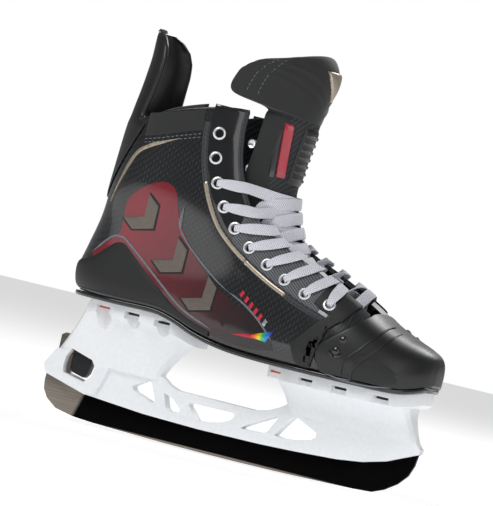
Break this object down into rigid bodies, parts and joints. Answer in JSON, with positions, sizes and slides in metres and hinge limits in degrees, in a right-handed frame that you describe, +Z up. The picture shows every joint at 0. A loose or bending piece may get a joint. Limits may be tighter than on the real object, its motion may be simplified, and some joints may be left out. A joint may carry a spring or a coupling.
{
  "type": "ice hockey skate",
  "caption": "Laced ice hockey skate: moulded boot with padded tongue and tendon guard, a truss blade holder, and a quick-release steel runner.",
  "frame": {"origin": "on the ice under the middle of the skate's box, at the blade's lowest point", "axes": "+X toward the toe, +Y toward the inner side of this right-foot skate, +Z up"},
  "size_m": [0.2974, 0.1066, 0.303],
  "materials": {
    "shell": "gloss film over carbon weave",
    "heel_counter": "satin",
    "ankle_panels": "satin",
    "collar_foam": "matte",
    "liner": "matte",
    "footbed": "matte",
    "insole_board": "matte",
    "outsole": "gloss",
    "toe_cap": "satin",
    "toe_cap_rivets": "satin",
    "toe_straps": "matte",
    "eyestay": "patent and ribbed",
    "eyelets": "satin",
    "tongue": "matte",
    "tongue_insert": "gloss",
    "tongue_badge": "metallic",
    "tendon_guard": "satin",
    "guard_pull": "matte",
    "blade_holder": "satin",
    "screws": "satin",
    "rivets": "satin",
    "burrs": "satin",
    "runner": "satin black with a ground heel",
    "trigger": "satin",
    "steel": "brushed",
    "lace": "woven",
    "aglet": "clear"
  },
  "bodies": {
    "boot": {"shell": "shell", "heel_counter": "heel_counter", "ankle_panels": "ankle_panels", "collar_foam": "collar_foam", "liner": "liner", "footbed": "footbed", "insole_board": "insole_board", "outsole": "outsole", "toe_cap": "toe_cap", "toe_cap_rivets": "toe_cap_rivets", "toe_straps": "toe_straps", "lateral_eyestay": "eyestay", "medial_eyestay": "eyestay", "lateral_eyelets": "eyelets", "medial_eyelets": "eyelets", "tongue_lower": "tongue", "guard_base": "tendon_guard", "blade_holder": "blade_holder", "holder_screws": "screws", "holder_rivets": "rivets", "rivet_burrs": "burrs", "trigger_pin": "steel", "trigger_spring": "steel", "lace_laced": "lace", "lace_end_lateral": "lace", "lace_end_medial": "lace", "lace_coil": "lace", "lace_aglets": "aglet"},
    "tongue_top": {"tongue_upper": "tongue", "tongue_insert": "tongue_insert", "tongue_badge": "tongue_badge"},
    "guard": {"tendon_guard": "tendon_guard", "guard_pull": "guard_pull"},
    "runner": {"runner": "runner"},
    "trigger": {"trigger": "trigger"}
  },
  "joints": [
    {"name": "tongue_fold", "type": "hinge", "parent": "boot", "child": "tongue_top", "pos_m": [0.011, 0, 0.2015], "axis": [0, 1, 0], "range_deg": [-3, 50]},
    {"name": "guard_flex", "type": "hinge", "parent": "boot", "child": "guard", "pos_m": [-0.1235, 0, 0.2305], "axis": [0, 1, 0], "range_deg": [-18, 2], "stiffness_Nm_per_rad": 3},
    {"name": "runner_release", "type": "slide", "parent": "boot", "child": "runner", "axis": [0, 0, -1], "range_m": [0, 0.045]},
    {"name": "trigger_pull", "type": "hinge", "parent": "boot", "child": "trigger", "pos_m": [-0.119, 0, 0.068], "axis": [0, -1, 0], "range_deg": [0, 7], "stiffness_Nm_per_rad": 0.4}
  ]
}
